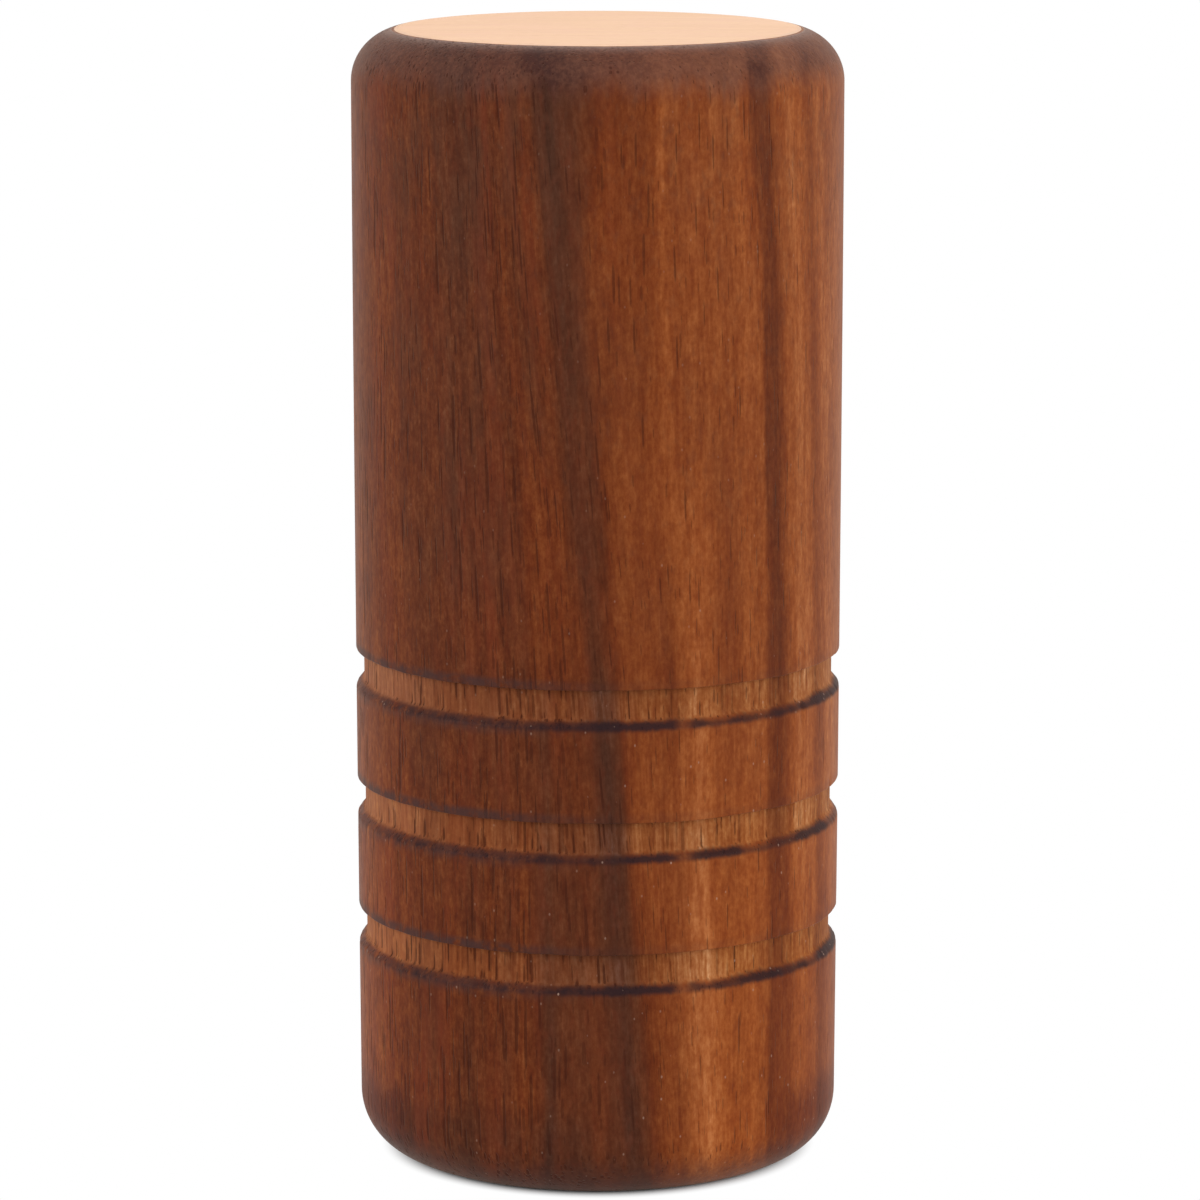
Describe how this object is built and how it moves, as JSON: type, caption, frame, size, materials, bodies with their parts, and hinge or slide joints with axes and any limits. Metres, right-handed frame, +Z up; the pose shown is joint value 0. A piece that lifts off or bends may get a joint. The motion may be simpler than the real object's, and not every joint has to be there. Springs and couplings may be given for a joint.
{
  "type": "wooden shaker",
  "caption": "Hand shaker turned from dark wood: a grooved, hollow cylinder closed by a pale wooden disc, with loose steel balls inside that rattle when it is shaken.",
  "frame": {"origin": "centre of the flat foot that the shaker stands on", "axes": "+Z up the shaker's length, out through the pale end disc; -Y is the side that the picture shows"},
  "size_m": [0.043, 0.043, 0.1],
  "materials": {
    "dark_wood": "oiled, satin",
    "pale_wood": "sanded, matt",
    "steel": "polished"
  },
  "bodies": {
    "shaker": {"body": "dark_wood", "end_disc": "pale_wood"},
    "ball_00": {"shot_00": "steel"},
    "ball_01": {"shot_01": "steel"},
    "ball_02": {"shot_02": "steel"},
    "ball_03": {"shot_03": "steel"},
    "ball_04": {"shot_04": "steel"},
    "ball_05": {"shot_05": "steel"},
    "ball_06": {"shot_06": "steel"},
    "ball_07": {"shot_07": "steel"},
    "ball_08": {"shot_08": "steel"},
    "ball_09": {"shot_09": "steel"},
    "ball_10": {"shot_10": "steel"},
    "ball_11": {"shot_11": "steel"},
    "ball_12": {"shot_12": "steel"},
    "ball_13": {"shot_13": "steel"},
    "ball_14": {"shot_14": "steel"},
    "ball_15": {"shot_15": "steel"},
    "ball_16": {"shot_16": "steel"},
    "ball_17": {"shot_17": "steel"},
    "ball_18": {"shot_18": "steel"}
  },
  "joints": [
    {"name": "fly_00", "type": "slide", "parent": "shaker", "child": "ball_00", "axis": [0, 0, 1], "range_m": [0, 0.0844]},
    {"name": "fly_01", "type": "slide", "parent": "shaker", "child": "ball_01", "axis": [0, 0, 1], "range_m": [0, 0.0844]},
    {"name": "fly_02", "type": "slide", "parent": "shaker", "child": "ball_02", "axis": [0, 0, 1], "range_m": [0, 0.0844]},
    {"name": "fly_03", "type": "slide", "parent": "shaker", "child": "ball_03", "axis": [0, 0, 1], "range_m": [0, 0.0844]},
    {"name": "fly_04", "type": "slide", "parent": "shaker", "child": "ball_04", "axis": [0, 0, 1], "range_m": [0, 0.0844]},
    {"name": "fly_05", "type": "slide", "parent": "shaker", "child": "ball_05", "axis": [0, 0, 1], "range_m": [0, 0.0844]},
    {"name": "fly_06", "type": "slide", "parent": "shaker", "child": "ball_06", "axis": [0, 0, 1], "range_m": [0, 0.0844]},
    {"name": "fly_07", "type": "slide", "parent": "shaker", "child": "ball_07", "axis": [0, 0, 1], "range_m": [0, 0.0844]},
    {"name": "fly_08", "type": "slide", "parent": "shaker", "child": "ball_08", "axis": [0, 0, 1], "range_m": [0, 0.0844]},
    {"name": "fly_09", "type": "slide", "parent": "shaker", "child": "ball_09", "axis": [0, 0, 1], "range_m": [0, 0.0844]},
    {"name": "fly_10", "type": "slide", "parent": "shaker", "child": "ball_10", "axis": [0, 0, 1], "range_m": [0, 0.0844]},
    {"name": "fly_11", "type": "slide", "parent": "shaker", "child": "ball_11", "axis": [0, 0, 1], "range_m": [0, 0.0844]},
    {"name": "fly_12", "type": "slide", "parent": "shaker", "child": "ball_12", "axis": [0, 0, 1], "range_m": [0, 0.0844]},
    {"name": "fly_13", "type": "slide", "parent": "shaker", "child": "ball_13", "axis": [0, 0, 1], "range_m": [0, 0.0844]},
    {"name": "fly_14", "type": "slide", "parent": "shaker", "child": "ball_14", "axis": [0, 0, 1], "range_m": [0, 0.0844]},
    {"name": "fly_15", "type": "slide", "parent": "shaker", "child": "ball_15", "axis": [0, 0, 1], "range_m": [0, 0.0844]},
    {"name": "fly_16", "type": "slide", "parent": "shaker", "child": "ball_16", "axis": [0, 0, 1], "range_m": [0, 0.0844]},
    {"name": "fly_17", "type": "slide", "parent": "shaker", "child": "ball_17", "axis": [0, 0, 1], "range_m": [0, 0.0844]},
    {"name": "fly_18", "type": "slide", "parent": "shaker", "child": "ball_18", "axis": [0, 0, 1], "range_m": [0, 0.0844]}
  ]
}
